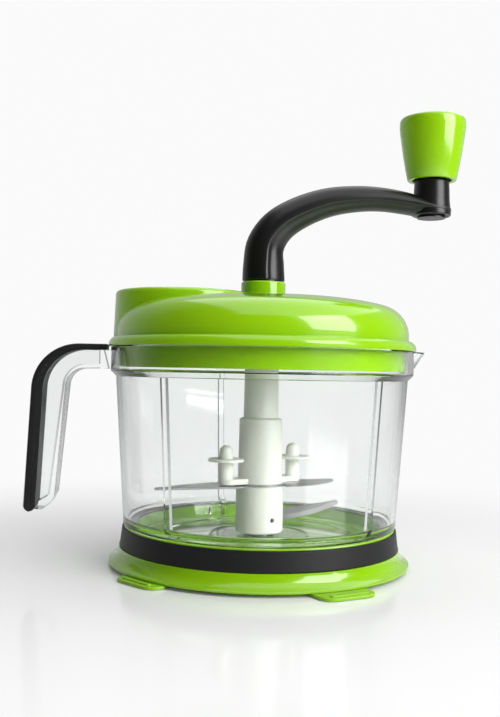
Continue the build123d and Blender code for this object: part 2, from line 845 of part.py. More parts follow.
def gear_outline(teeth, root_radius, tip_radius, slack, first_angle):
    """A toothed outline with the first tooth centred on first_angle."""
    base_radius = gear_module * teeth / 2 * cos(pressure_angle)
    flank_start = max(root_radius, base_radius)
    radii = (flank_start, (flank_start + tip_radius) / 2, tip_radius)
    flank = [(r, tooth_half_angle(teeth, r, slack)) for r in radii]
    right = [(r * cos(a), -r * sin(a)) for r, a in flank]
    left = [(x, -y) for x, y in right]
    root_x = (root_radius - 0.3) * cos(flank[0][1])
    root_y = (root_radius - 0.3) * sin(flank[0][1])
    with BuildSketch() as tooth:
        with BuildLine():
            Line((root_x, -root_y), right[0])
            ThreePointArc(*right)
            Line(right[2], left[2])
            ThreePointArc(left[2], left[1], left[0])
            Line(left[0], (root_x, root_y))
            Line((root_x, root_y), (root_x, -root_y))
        make_face()
    with BuildSketch() as outline:
        Circle(root_radius)
        with PolarLocations(0, teeth, start_angle=first_angle):
            add(tooth.sketch)
    return outline.sketch


def pinion_outline(teeth, first_angle):
    """Outline of an external gear."""
    pitch_radius = gear_module * teeth / 2
    return gear_outline(
        teeth,
        pitch_radius - tooth_dedendum * gear_module,
        pitch_radius + tooth_addendum * gear_module,
        tooth_slack,
        first_angle,
    )


with BuildPart() as drive_gear:
    # the space between two inner teeth has the outline of a tooth
    with BuildSketch(Plane.XY.offset(gear_bottom)):
        Circle(ring_outer)
        add(
            gear_outline(
                ring_teeth,
                ring_pitch - tooth_addendum * gear_module,
                ring_pitch + tooth_dedendum * gear_module,
                -tooth_slack,
                180 / ring_teeth,
            ),
            mode=Mode.SUBTRACT,
        )
    extrude(amount=gear_height + face_gap)
    with BuildSketch(Plane.XY.offset(gear_top + face_gap)):
        Circle(ring_outer)
    extrude(amount=ring_web)
    shaft_top = arm_foot
    with BuildSketch(Plane.XY.offset(gear_top + face_gap + ring_web)):
        Circle(shaft_radius)
    extrude(amount=shaft_top - gear_top - face_gap - ring_web)
    with BuildSketch(Plane.XY.offset(shaft_top)):
        RectangleRounded(drive_square, drive_square, 1.5)
    extrude(amount=drive_square_length)
    with BuildSketch(Plane.XY.offset(gear_top + face_gap)):
        Circle(shaft_bore)
    extrude(amount=shaft_top - gear_top - face_gap - crank_screw_sink, mode=Mode.SUBTRACT)
    with BuildSketch(Plane.XY.offset(gear_top)):
        Circle(crank_screw_radius)
    extrude(amount=shaft_top + drive_square_length - gear_top, mode=Mode.SUBTRACT)
save(drive_gear, "drive_gear")

for number, spot in enumerate(PolarLocations(planet_orbit, planet_count).locations, start=1):
    # every planet turns a tooth space towards the sun and the ring
    turn = 360 / planet_count * (number - 1)
    with BuildPart() as planet:
        with BuildSketch(Plane(origin=spot.position + (0, 0, gear_bottom))):
            add(pinion_outline(planet_teeth, turn + 180 / planet_teeth))
            Circle(planet_pin_radius + turn_gap, mode=Mode.SUBTRACT)
        extrude(amount=gear_height)
    save(planet, f"planet_gear_{number}")

with BuildPart() as sun_spindle:
    with BuildSketch(Plane.XY.offset(gear_bottom)):
        add(pinion_outline(sun_teeth, 0))
    extrude(amount=gear_height)
    with BuildSketch(Plane.XY.offset(cover_top)):
        Circle(spindle_collar)
    extrude(amount=gear_bottom - cover_top)
    with BuildSketch(Plane.XY.offset(column_top + 1.5)):
        Circle(spindle_radius)
    extrude(amount=cover_top - column_top - 1.5)
    with BuildSketch(Plane.XY.offset(spindle_end)):
        RectangleRounded(spindle_square, spindle_square, 0.8)
    extrude(amount=column_top + 1.5 - spindle_end)
    chamfer(sun_spindle.faces().sort_by(Axis.Z)[0].edges(), 0.6)
save(sun_spindle, "sun_spindle")

# =====================================================================  crank
# stations along the arm: shares of the reach and rise, tangent angle, and shares of the
# foot radius for the half width and the heights above and below the crease
arm_stations = (
    (0.0, 0.0, 90, 1.0, 1.0, 1.0),
    (0.0, 0.194, 89, 0.958, 0.975, 0.958),
    (0.015, 0.432, 72, 0.915, 0.949, 0.847),
    (0.091, 0.648, 47, 0.873, 0.932, 0.729),
    (0.219, 0.812, 33, 0.839, 0.898, 0.627),
    (0.383, 0.937, 19, 0.805, 0.831, 0.542),
    (0.553, 0.991, 7, 0.780, 0.745, 0.475),
    (0.702, 1.0, -2, 0.763, 0.680, 0.441),
    (0.851, 0.970, -9, 0.754, 0.640, 0.424),
    (1.0, 0.911, -12, 0.729, 0.560, 0.271),
)

with BuildPart() as crank_arm:
    for reach_share, rise_share, angle, half_share, above_share, below_share in arm_stations:
        tangent = (cos(radians(angle)), 0, sin(radians(angle)))
        place = (crank_reach * reach_share, 0, arm_foot + arm_rise * rise_share)
        half_width = arm_foot_radius * half_share
        above = arm_foot_radius * above_share
        below = arm_foot_radius * below_share
        with BuildSketch(Plane(origin=place, x_dir=(0, 1, 0), z_dir=tangent)):
            with BuildLine():
                EllipticalCenterArc((0, 0), half_width, above, arc_size=180)
                ThreePointArc((-half_width, 0), (0, -below), (half_width, 0))
            make_face()
    loft()
    # upright post at the end of the arm
    with BuildSketch(Plane.XY.offset(post_bottom)):
        with Locations((crank_reach, 0)):
            Circle(post_foot_radius)
    with BuildSketch(Plane.XY.offset(post_top)):
        with Locations((crank_reach, 0)):
            Circle(post_radius)
    loft(ruled=True)
    with BuildSketch(Plane.XY.offset(post_bottom)):
        with Locations((crank_reach, 0)):
            Circle(4 * post_foot_radius)
    extrude(amount=-10, mode=Mode.SUBTRACT)
    # bore of the axle and the seat of its plug
    with BuildSketch(Plane.XY.offset(post_bottom)):
        with Locations((crank_reach, 0)):
            Circle(axle_radius)
    extrude(amount=post_top - post_bottom, mode=Mode.SUBTRACT)
    with BuildSketch(Plane.XY.offset(post_bottom)):
        with Locations((crank_reach, 0)):
            Circle(plug_radius - plug_lap)
    extrude(amount=plug_stem, mode=Mode.SUBTRACT)
    # square socket of the crank shaft and the pilot hole of its screw
    with BuildSketch(Plane.XY.offset(arm_foot)):
        Rectangle(drive_square + 0.1, drive_square + 0.1)
    extrude(amount=drive_square_length + 0.5, mode=Mode.SUBTRACT)
    with BuildSketch(Plane.XY.offset(arm_foot)):
        Circle(crank_screw_radius)
    extrude(amount=crank_screw_length - 3, mode=Mode.SUBTRACT)
save(crank_arm, "crank_arm")

with BuildPart() as thrust_washer:
    with BuildSketch(Plane.XY.offset(collar_post_top)):
        Circle(washer_radius)
        Circle(shaft_radius + turn_gap, mode=Mode.SUBTRACT)
    extrude(amount=arm_foot - collar_post_top)
save(thrust_washer, "thrust_washer")

screw_seat = arm_foot - crank_screw_sink
with BuildPart() as crank_screw:
    with BuildSketch(Plane.XY.offset(screw_seat - crank_screw_head_height)):
        Circle(crank_screw_head)
    extrude(amount=crank_screw_head_height)
    with BuildSketch(Plane.XY.offset(screw_seat - crank_screw_head_height)):
        RegularPolygon(crank_screw_hex, 6)
    extrude(amount=crank_screw_head_height - 0.9, mode=Mode.SUBTRACT)
    with BuildSketch(Plane.XY.offset(screw_seat)):
        Circle(crank_screw_radius)
    extrude(amount=crank_screw_length - 3)
save(crank_screw, "crank_screw")

# =====================================================================  knob
knob_top = knob_bottom + knob_height
cap_seat_z = knob_top - cap_disc_thickness
tube_top = cap_seat_z - axle_head_height - 3.0
axle_head_bottom = tube_top + 0.3

with BuildPart() as knob_axle:
    with BuildSketch(Plane.XY.offset(post_bottom + plug_stem)):
        with Locations((crank_reach, 0)):
            Circle(axle_radius)
    extrude(amount=axle_head_bottom - post_bottom - plug_stem)
    with BuildSketch(Plane.XY.offset(axle_head_bottom)):
        with Locations((crank_reach, 0)):
            Circle(axle_head_radius)
    extrude(amount=axle_head_height)
    fillet(knob_axle.edges().group_by(Axis.Z)[-1], 0.6)
save(knob_axle, "knob_axle")

with BuildPart() as axle_cap:
    with BuildSketch(Plane.XY.offset(post_bottom - plug_proud)):
        with Locations((crank_reach, 0)):
            Circle(plug_radius)
    extrude(amount=plug_proud)
    with BuildSketch(Plane.XY.offset(post_bottom)):
        with Locations((crank_reach, 0)):
            Circle(plug_radius - plug_lap)
    extrude(amount=plug_stem)
save(axle_cap, "axle_cap")

with BuildPart() as knob:
    with BuildSketch(Plane.XZ):
        with BuildLine():
            outside = ThreePointArc(
                (knob_foot_radius, knob_bottom),
                (between(knob_foot_radius, knob_radius, 0.62), between(knob_bottom, knob_top, 0.45)),
                (knob_radius, knob_top - knob_crest),
            )
            crest = ThreePointArc(
                outside @ 1,
                (knob_radius - 0.16 * knob_crest, knob_top - 0.29 * knob_crest),
                (knob_radius - 0.71 * knob_crest, knob_top),
            )
            top_face = Polyline(
                crest @ 1,
                (cap_disc_radius, knob_top),
                (cap_disc_radius, cap_seat_z),
                (cap_disc_radius - 2.0, cap_seat_z),
                (cap_disc_radius - 2.0, tube_top),
                (axle_radius + turn_gap, tube_top),
                (axle_radius + turn_gap, knob_rise),
                (knob_core, knob_rise),
                (knob_core, tube_top - knob_wall),
                (knob_radius - knob_wall - 1.6, tube_top - knob_wall),
            )
            inside = ThreePointArc(
                top_face @ 1,
                (knob_mouth + 3.4, between(knob_bottom, knob_top, 0.40)),
                (knob_mouth, knob_bottom + 3.0),
            )
            Polyline(inside @ 1, (knob_mouth, knob_bottom), outside @ 0)
        make_face()
    revolve(axis=Axis.Z)
knob.part.position = (crank_reach, 0, 0)
save(knob, "knob")

with BuildPart() as knob_cap:
    with BuildSketch(Plane.XY.offset(cap_seat_z)):
        with Locations((crank_reach, 0)):
            Circle(cap_disc_radius)
    extrude(amount=cap_disc_thickness)
    fillet(knob_cap.edges().group_by(Axis.Z)[-1], 0.5)
save(knob_cap, "knob_cap")

# =====================================================================  blade unit
column_bottom = hub_top + blade_thickness
lug_top = column_bottom + lug_thickness
disc_bottom = lug_top + stud_neck
stud_top = disc_bottom + stud_rise
column_bore = pivot_radius + turn_gap

with BuildPart() as blade_column:
    with BuildSketch(Plane.XZ):
        Polygon(
            (tenon_radius, column_bottom),
            (column_radius, column_bottom),
            (column_radius - 0.4, column_step),
            (column_neck_radius, column_step + 1.0),
            (column_neck_radius - 0.3, column_top),
            (column_bore, column_top),
            (column_bore, column_bottom + tenon_height),
            (tenon_radius, column_bottom + tenon_height),
            align=None,
        )
    revolve(axis=Axis.Z)
    # lugs that hold the two studs
    with BuildSketch(Plane.XY.offset(column_bottom)):
        with Locations(Location((0, 0, 0), (0, 0, stud_angle))):
            SlotOverall(2 * lug_reach, blade_lug_width)
        Circle(tenon_radius + 1, mode=Mode.SUBTRACT)
    extrude(amount=lug_top - column_bottom)
    with BuildSketch(Plane.XY.offset(column_bottom)):
        with PolarLocations(stud_offset, 2, start_angle=stud_angle):
            Circle(stud_peg_radius)
    extrude(amount=lug_top - column_bottom, mode=Mode.SUBTRACT)
    # square socket for the spindle
    with BuildSketch(Plane.XY.offset(spindle_end - 2)):
        Rectangle(spindle_square + 2 * socket_gap, spindle_square + 2 * socket_gap)
    extrude(amount=column_top - spindle_end + 2, mode=Mode.SUBTRACT)
save(blade_column, "blade_column")


def blade_arm(reach, chord, root, sweep_back):
    """One sickle-shaped blade arm along +X, curved towards +Y at its tip."""
    with BuildSketch() as arm:
        with BuildLine():
            front = ThreePointArc(
                (root, -chord / 2),
                (reach * 0.6, -chord / 2 + sweep_back * 0.12),
                (reach, sweep_back),
            )
            tip = Line(front @ 1, (reach - blade_tip, sweep_back + 1.1 * blade_tip))
            back = ThreePointArc(
                tip @ 1,
                (reach * 0.62, chord / 2 + sweep_back * 0.10),
                (root, chord / 2),
            )
            Line(back @ 1, front @ 0)
        make_face()
    return arm.sketch


with BuildPart() as upper_blade:
    for side_angle, reach in ((upper_angle, upper_short_reach), (upper_angle + 180, upper_reach)):
        along = (cos(radians(side_angle)), sin(radians(side_angle)), 0)
        tilt = radians(upper_pitch)
        up = (sin(tilt) * along[1], -sin(tilt) * along[0], cos(tilt))
        drop = (upper_chord / 2 + upper_sweep / 2) * sin(tilt)
        with BuildSketch(Plane(origin=(0, 0, hub_top - drop), x_dir=along, z_dir=up)):
            add(blade_arm(reach, upper_chord, hub_radius + seat_gap, upper_sweep))
        extrude(amount=blade_thickness)
    with BuildSketch(Plane.XY.offset(hub_top)):
        Circle(hub_radius + 2 * seat_gap)
    extrude(amount=blade_thickness)
    with BuildSketch(Plane.XY.offset(hub_top - 1)):
        Circle(tenon_radius)
    extrude(amount=blade_thickness + 2, mode=Mode.SUBTRACT)
save(upper_blade, "upper_blade")

lower_along = (cos(radians(lower_angle)), sin(radians(lower_angle)), 0)
lower_tilt = radians(lower_pitch)
lower_up = (sin(lower_tilt) * lower_along[1], -sin(lower_tilt) * lower_along[0], cos(lower_tilt))
lower_plane = Plane(origin=(0, 0, lower_height - blade_thickness / 2), x_dir=lower_along, z_dir=lower_up)

with BuildPart() as lower_blade:
    with BuildSketch(lower_plane):
        add(blade_arm(lower_reach, lower_chord, tang_inner, lower_sweep))
    extrude(amount=blade_thickness)
save(lower_blade, "lower_blade")

with BuildPart() as blade_hub:
    with BuildSketch(Plane.XY.offset(hub_bottom)):
        Circle(hub_radius)
    extrude(amount=hub_top - hub_bottom)
    chamfer(blade_hub.edges().group_by(Axis.Z)[0], 0.8)
    with BuildSketch(Plane.XY.offset(hub_top)):
        Circle(tenon_radius)
    extrude(amount=blade_thickness + tenon_height)
    with BuildSketch(Plane.XY.offset(hub_bottom)):
        Circle(column_bore)
    extrude(amount=hub_top + blade_thickness + tenon_height - hub_bottom, mode=Mode.SUBTRACT)
    # slot of the lower blade, and the pocket and hole of its pin
    with BuildSketch(lower_plane):
        add(blade_arm(lower_reach, lower_chord, tang_inner, lower_sweep))
    extrude(amount=blade_thickness, mode=Mode.SUBTRACT)
    pin_angle = lower_angle - 90
    pin_out = (cos(radians(pin_angle)), sin(radians(pin_angle)), 0)
    pin_base = hub_radius - pocket_depth - pin_length
    pin_plane = Plane(
        origin=(pin_out[0] * pin_base, pin_out[1] * pin_base, lower_height - pin_below),
        x_dir=(-pin_out[1], pin_out[0], 0),
        z_dir=pin_out,
    )
    with BuildSketch(pin_plane.offset(pin_length)):
        Rectangle(pocket_width, pocket_height)
    extrude(amount=3 * pocket_depth, mode=Mode.SUBTRACT)
    with BuildSketch(pin_plane):
        Circle(pin_radius)
    extrude(amount=pin_length, mode=Mode.SUBTRACT)
save(blade_hub, "blade_hub")

with BuildPart() as blade_pin:
    with BuildSketch(pin_plane):
        Circle(pin_radius)
    extrude(amount=pin_length - pin_sink)
save(blade_pin, "blade_pin")

for name, side_angle in (("stud_right", stud_angle), ("stud_left", stud_angle + 180)):
    with BuildPart() as stud:
        with BuildSketch(Plane.XZ):
            with BuildLine():
                low = Polyline(
                    (0, column_bottom),
                    (stud_peg_radius, column_bottom),
                    (stud_peg_radius, lug_top),
                    (stud_radius, lug_top),
                    (stud_radius, disc_bottom),
                    (disc_radius, disc_bottom),
                    (disc_radius, disc_bottom + disc_thickness),
                    (stud_radius, disc_bottom + disc_thickness),
                    (stud_radius - stud_taper, stud_top - stud_dome),
                )
                dome = dome_line(stud_radius - stud_taper, stud_top, stud_dome)
                Line(dome @ 1, low @ 0)
            make_face()
        revolve(axis=Axis.Z)
    stud.part.position = (
        stud_offset * cos(radians(side_angle)),
        stud_offset * sin(radians(side_angle)),
        0,
    )
    save(stud, name)
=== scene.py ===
import json
from math import cos, pi, radians, sin, tan

import bmesh
import bpy
from mathutils import Matrix, Vector


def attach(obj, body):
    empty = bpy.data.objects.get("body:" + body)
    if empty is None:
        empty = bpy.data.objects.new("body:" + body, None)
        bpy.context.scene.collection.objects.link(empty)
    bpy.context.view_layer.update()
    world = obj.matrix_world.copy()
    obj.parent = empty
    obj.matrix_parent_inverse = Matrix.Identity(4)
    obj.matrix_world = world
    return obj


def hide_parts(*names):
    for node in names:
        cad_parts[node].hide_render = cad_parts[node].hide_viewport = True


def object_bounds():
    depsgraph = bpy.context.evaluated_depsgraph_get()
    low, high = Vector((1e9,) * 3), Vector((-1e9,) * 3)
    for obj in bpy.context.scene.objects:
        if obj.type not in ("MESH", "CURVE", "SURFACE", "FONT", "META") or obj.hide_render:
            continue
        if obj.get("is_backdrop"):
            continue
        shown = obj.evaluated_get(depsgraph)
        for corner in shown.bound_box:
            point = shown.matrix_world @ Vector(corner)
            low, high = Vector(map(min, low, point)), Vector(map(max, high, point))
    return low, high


print("load the frame")
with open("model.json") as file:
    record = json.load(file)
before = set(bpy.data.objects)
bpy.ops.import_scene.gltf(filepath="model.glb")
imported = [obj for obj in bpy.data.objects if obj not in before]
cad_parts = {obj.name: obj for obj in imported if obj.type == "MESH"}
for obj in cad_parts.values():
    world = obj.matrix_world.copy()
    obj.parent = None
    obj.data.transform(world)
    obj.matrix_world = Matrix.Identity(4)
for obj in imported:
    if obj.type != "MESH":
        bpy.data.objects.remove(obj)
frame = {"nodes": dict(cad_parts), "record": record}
nodes = frame["nodes"]
scene = bpy.context.scene
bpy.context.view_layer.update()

print("camera")
view = {
    "place": (-0.0523, -0.4973, 0.106),
    "turn": -5.24,      # degrees about the upright axis
    "tilt": 0.67,       # degrees above level
    "roll": 1.1,
    "lens": 64.8,
}
cameraData = bpy.data.cameras.new("camera")
cameraData.sensor_fit = "HORIZONTAL"
cameraData.sensor_width = 36.0
cameraData.lens = view["lens"]
cameraData.clip_start = 0.01
camera = bpy.data.objects.new("camera", cameraData)
scene.collection.objects.link(camera)
camera.matrix_world = (
    Matrix.Translation(view["place"])
    @ Matrix.Rotation(radians(view["turn"]), 4, "Z")
    @ Matrix.Rotation(pi / 2 + radians(view["tilt"]), 4, "X")
    @ Matrix.Rotation(radians(view["roll"]), 4, "Z")
)
scene.camera = camera
scene.view_settings.view_transform = "Standard"

print("materials")


def addNode(tree, kind, values=None, **settings):
    node = tree.nodes.new(kind)
    for key, value in settings.items():
        setattr(node, key, value)
    for key, value in (values or {}).items():
        node.inputs[key].default_value = value
    return node


# links are pairs of an output and the input it feeds
def wire(tree, *links):
    for output, socket in links:
        tree.links.new(output, socket)


# fine waviness and faint wear of a moulded face
def mouldedGroup():
    group = bpy.data.node_groups.new("mouldedFace", "ShaderNodeTree")
    inputs = [("Tone", "NodeSocketColor", (0.5, 0.5, 0.5, 1)), ("Gloss", "NodeSocketFloat", 0.2),
              ("Grain", "NodeSocketFloat", 900.0), ("Depth", "NodeSocketFloat", 0.02)]
    for label, kind, value in inputs:
        socket = group.interface.new_socket(label, in_out="INPUT", socket_type=kind)
        socket.default_value = value
    outputs = [("Colour", "NodeSocketColor"), ("Roughness", "NodeSocketFloat"), ("Normal", "NodeSocketVector")]
    for label, kind in outputs:
        group.interface.new_socket(label, in_out="OUTPUT", socket_type=kind)
    source = group.nodes.new("NodeGroupInput")
    sink = group.nodes.new("NodeGroupOutput")
    place = addNode(group, "ShaderNodeTexCoord")
    broad = addNode(group, "ShaderNodeTexNoise", {"Scale": 26.0, "Detail": 3.0})
    fine = addNode(group, "ShaderNodeTexNoise", {"Detail": 2.0})
    shade = addNode(group, "ShaderNodeMapRange", {"To Min": 0.965, "To Max": 1.035})
    tint = addNode(group, "ShaderNodeVectorMath", operation="SCALE")
    spread = addNode(group, "ShaderNodeMapRange", {"To Min": 0.85, "To Max": 1.15})
    rough = addNode(group, "ShaderNodeMath", operation="MULTIPLY")
    bump = addNode(group, "ShaderNodeBump", {"Distance": 0.0002})
    wire(
        group,
        (place.outputs["Object"], broad.inputs["Vector"]),
        (place.outputs["Object"], fine.inputs["Vector"]),
        (source.outputs["Grain"], fine.inputs["Scale"]),
        (broad.outputs["Fac"], shade.inputs["Value"]),
        (source.outputs["Tone"], tint.inputs[0]),
        (shade.outputs["Result"], tint.inputs["Scale"]),
        (tint.outputs["Vector"], sink.inputs["Colour"]),
        (broad.outputs["Fac"], spread.inputs["Value"]),
        (source.outputs["Gloss"], rough.inputs[0]),
        (spread.outputs["Result"], rough.inputs[1]),
        (rough.outputs["Value"], sink.inputs["Roughness"]),
        (source.outputs["Depth"], bump.inputs["Strength"]),
        (fine.outputs["Fac"], bump.inputs["Height"]),
        (bump.outputs["Normal"], sink.inputs["Normal"]),
    )
    return group


mouldedFace = mouldedGroup()


def mouldedMaterial(name, values):
    material = bpy.data.materials.new(name)
    material.use_nodes = True
    tree = material.node_tree
    skin = tree.nodes["Principled BSDF"]
    face = addNode(tree, "ShaderNodeGroup", node_tree=mouldedFace)
    face.inputs["Tone"].default_value = (*values["tone"], 1)
    face.inputs["Gloss"].default_value = values["gloss"]
    face.inputs["Grain"].default_value = values.get("grain", 900.0)
    face.inputs["Depth"].default_value = values.get("depth", 0.02)
    wire(
        tree,
        (face.outputs["Colour"], skin.inputs["Base Color"]),
        (face.outputs["Roughness"], skin.inputs["Roughness"]),
        (face.outputs["Normal"], skin.inputs["Normal"]),
    )
    for socket, value in values.get("skin", {}).items():
        skin.inputs[socket].default_value = value
    return material


# clear plastic: light passes it as through a pane
def clearMaterial(name, values):
    material = mouldedMaterial(name, values)
    tree = material.node_tree
    path = addNode(tree, "ShaderNodeLightPath")
    pane = addNode(tree, "ShaderNodeBsdfTransparent", {"Color": (*values["shadow"], 1)})
    blend = addNode(tree, "ShaderNodeMixShader")
    wire(
        tree,
        (path.outputs["Is Shadow Ray"], blend.inputs["Fac"]),
        (tree.nodes["Principled BSDF"].outputs["BSDF"], blend.inputs[1]),
        (pane.outputs["BSDF"], blend.inputs[2]),
        (blend.outputs["Shader"], tree.nodes["Material Output"].inputs["Surface"]),
    )
    return material


# ground and turned steel: fine lines along one direction
def steelMaterial(name, values):
    material = bpy.data.materials.new(name)
    material.use_nodes = True
    tree = material.node_tree
    skin = tree.nodes["Principled BSDF"]
    place = addNode(tree, "ShaderNodeTexCoord")
    stretch = addNode(tree, "ShaderNodeMapping", {"Scale": values["stretch"]})
    lines = addNode(tree, "ShaderNodeTexNoise", {"Scale": 60.0, "Detail": 4.0})
    spread = addNode(tree, "ShaderNodeMapRange",
                     {"To Min": values["gloss"] * 0.8, "To Max": values["gloss"] * 1.3})
    bump = addNode(tree, "ShaderNodeBump", {"Strength": 0.06, "Distance": 0.0002})
    wire(
        tree,
        (place.outputs["Object"], stretch.inputs["Vector"]),
        (stretch.outputs["Vector"], lines.inputs["Vector"]),
        (lines.outputs["Fac"], spread.inputs["Value"]),
        (spread.outputs["Result"], skin.inputs["Roughness"]),
        (lines.outputs["Fac"], bump.inputs["Height"]),
        (bump.outputs["Normal"], skin.inputs["Normal"]),
    )
    skin.inputs["Base Color"].default_value = (*values["tone"], 1)
    skin.inputs["Metallic"].default_value = 1.0
    return material


mouldedLooks = {
    "green_plastic": {"tone": (0.262, 0.540, 0.002), "gloss": 0.20, "depth": 0.01,
                      "skin": {"Coat Weight": 0.8, "Coat Roughness": 0.07, "Specular IOR Level": 0.35}},
    "soft_green": {"tone": (0.270, 0.540, 0.015), "gloss": 0.40, "depth": 0.04,
                   "skin": {"Specular IOR Level": 0.45}},
    "black_rubber": {"tone": (0.008, 0.008, 0.009), "gloss": 0.48, "grain": 2200.0, "depth": 0.12,
                     "skin": {"Specular IOR Level": 0.35}},
    "black_plastic": {"tone": (0.004, 0.004, 0.004), "gloss": 0.31, "depth": 0.02,
                      "skin": {"Specular IOR Level": 0.5}},
    "white_plastic": {"tone": (0.79, 0.78, 0.74), "gloss": 0.34, "depth": 0.02,
                      "skin": {"Subsurface Weight": 0.1, "Subsurface Scale": 0.004}},
    # painted shade: the whole pin is coloured near black because its end lies in shadow at the bottom of its
    # pocket
    "pin_painted_shade": {"tone": (0.03, 0.028, 0.02), "gloss": 0.5, "grain": 2000.0},
}
clearLooks = {
    "clear_plastic": {"tone": (0.97, 0.985, 0.98), "gloss": 0.035, "depth": 0.004, "shadow": (0.93, 0.95, 0.94),
                      "skin": {"Transmission Weight": 1.0, "IOR": 1.46, "Specular IOR Level": 0.2}},
}
steelLooks = {
    "blade_steel": {"tone": (0.46, 0.46, 0.46), "gloss": 0.30, "stretch": (1.0, 14.0, 6.0)},
    "pin_steel": {"tone": (0.55, 0.55, 0.55), "gloss": 0.28, "stretch": (1.0, 1.0, 20.0)},
}
materials = {name: mouldedMaterial(name, values) for name, values in mouldedLooks.items()}
materials |= {name: clearMaterial(name, values) for name, values in clearLooks.items()}
materials |= {name: steelMaterial(name, values) for name, values in steelLooks.items()}

print("dress the nodes")
# painted shade: blade_pin takes the near-black painted-shade look in place of its steel slot
ownLooks = {"blade_pin": "pin_painted_shade"}
for row in frame["record"]["subparts"]:
    slots = nodes[row["node"]].data.materials
    slots.clear()
    slots.append(materials[ownLooks.get(row["node"], row["material_slot"])])


# pieces are shaped in millimetres and finished in metres
def finishPiece(name, shape, look, body, node, corner):
    bmesh.ops.recalc_face_normals(shape, faces=shape.faces)
    bmesh.ops.scale(shape, verts=shape.verts, vec=(0.001, 0.001, 0.001))
    mesh = bpy.data.meshes.new(name)
    shape.to_mesh(mesh)
    shape.free()
    mesh.polygons.foreach_set("use_smooth", [True] * len(mesh.polygons))
    mesh.set_sharp_from_angle(angle=radians(corner))
    mesh.materials.append(materials[look])
    piece = bpy.data.objects.new(name, mesh)
    scene.collection.objects.link(piece)
    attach(piece, body)
    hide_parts(node)
    return piece


# an outline whose corners are rounded: points are (x, z) or (x, z, radius)
def roundedLine(points, closed=True, steps=5):
    line = []
    for i, point in enumerate(points):
        here = Vector(point[:2])
        radius = point[2] if len(point) > 2 else 0
        if not radius or (not closed and i in (0, len(points) - 1)):
            line.append(here)
            continue
        back = Vector(points[i - 1][:2]) - here
        ahead = Vector(points[(i + 1) % len(points)][:2]) - here
        reach = min(radius / tan(back.angle(ahead) / 2), 0.48 * back.length, 0.48 * ahead.length)
        start, end = here + back.normalized() * reach, here + ahead.normalized() * reach
        for k in range(steps + 1):
            t = k / steps
            line.append((1 - t) ** 2 * start + 2 * t * (1 - t) * here + t**2 * end)
    return line


# turns an outline of (radius, z) about an upright axis at centre
def turn(shape, points, centre=(0, 0), steps=96, closed=True):
    line = roundedLine(points, closed)
    verts = [shape.verts.new((centre[0] + p.x, centre[1], p.y)) for p in line]
    edges = [shape.edges.new(pair) for pair in zip(verts, verts[1:])]
    if closed:
        edges.append(shape.edges.new((verts[-1], verts[0])))
    bmesh.ops.spin(shape, geom=verts + edges, cent=(*centre, 0), axis=(0, 0, 1), angle=2 * pi,
                   steps=steps, use_merge=True)
    bmesh.ops.remove_doubles(shape, verts=shape.verts, dist=0.0005)


# skins a list of closed rings, each a list of points, and closes both ends
def skin(shape, rings):
    loops = []
    for ring in rings:
        verts = [shape.verts.new(point) for point in ring]
        loops.append([shape.edges.new((verts[k - 1], verts[k])) for k in range(len(verts))])
    for first, second in zip(loops, loops[1:]):
        bmesh.ops.bridge_loops(shape, edges=first + second)
    for end in (loops[0], loops[-1]):
        bmesh.ops.contextual_create(shape, geom=end)


# a flat rounded slab with soft upper edges
def slab(shape, outline, place, low, high, edge):
    verts = [shape.verts.new(place @ Vector((p.x, p.y, low))) for p in roundedLine(outline)]
    base = shape.faces.new(verts)
    lifted = bmesh.ops.extrude_face_region(shape, geom=[base])["geom"]
    top = [v for v in lifted if isinstance(v, bmesh.types.BMVert)]
    bmesh.ops.translate(shape, verts=top, vec=(0, 0, high - low))
    rim = [e for e in shape.edges if all(v in top for v in e.verts)]
    bmesh.ops.bevel(shape, geom=rim, offset=edge, segments=3, profile=0.5, affect="EDGES", material=-1)


# smooth values between the rows of a table of stations
def between(rows, share):
    spot = share * (len(rows) - 1)
    i = min(int(spot), len(rows) - 2)
    t = spot - i
    p = [rows[max(0, min(len(rows) - 1, i + k))] for k in (-1, 0, 1, 2)]
    return [
        0.5 * (2 * b + (c - a) * t + (2 * a - 5 * b + 4 * c - d) * t * t + (3 * b - a - 3 * c + d) * t**3)
        for a, b, c, d in zip(*p)
    ]


print("suction cup")
cup = {
    "body": [(10.0, 3.4), (2.2, 3.4), (2.2, 6.0), (10.0, 6.0, 0.6), (39.0, 5.4, 20.0), (74.0, 1.8, 6.0),
             (77.8, 1.2, 0.6), (78.6, 0.6, 0.4), (77.8, 0.0, 0.3), (66.5, 0.0, 0.6), (35.0, 2.6, 20.0)],
    "tabs": [(-67.0, 92.4), (-140.0, 88.6)],     # direction and reach
    "inside": 70.6, "width": 31.0, "corner": 8.5, "thick": 1.35, "edge": 0.45,
    # raised bar near the end of each tab
    "bar": 2.4, "barHeight": 0.65, "barEdge": 0.3, "barCorner": 1.1, "barSink": 0.1,
}
shape = bmesh.new()
turn(shape, cup["body"])
for angle, reach in cup["tabs"]:
    place = Matrix.Rotation(radians(angle), 4, "Z")
    half, corner = cup["width"] / 2, cup["corner"]
    tongue = [(cup["inside"], -half), (reach, -half, corner), (reach, half, corner), (cup["inside"], half)]
    slab(shape, tongue, place, 0.0, cup["thick"], cup["edge"])
    outer, inner, wide = reach - cup["bar"], reach - 2 * cup["bar"], half - corner * 0.6
    ends = [(inner, -wide), (outer, -wide), (outer, wide), (inner, wide)]
    slab(shape, [(*end, cup["barCorner"]) for end in ends], place,
         cup["thick"] - cup["barSink"], cup["thick"] + cup["barHeight"], cup["barEdge"])
finishPiece("cupForm", shape, "soft_green", "base", "suction_cup", corner=45)

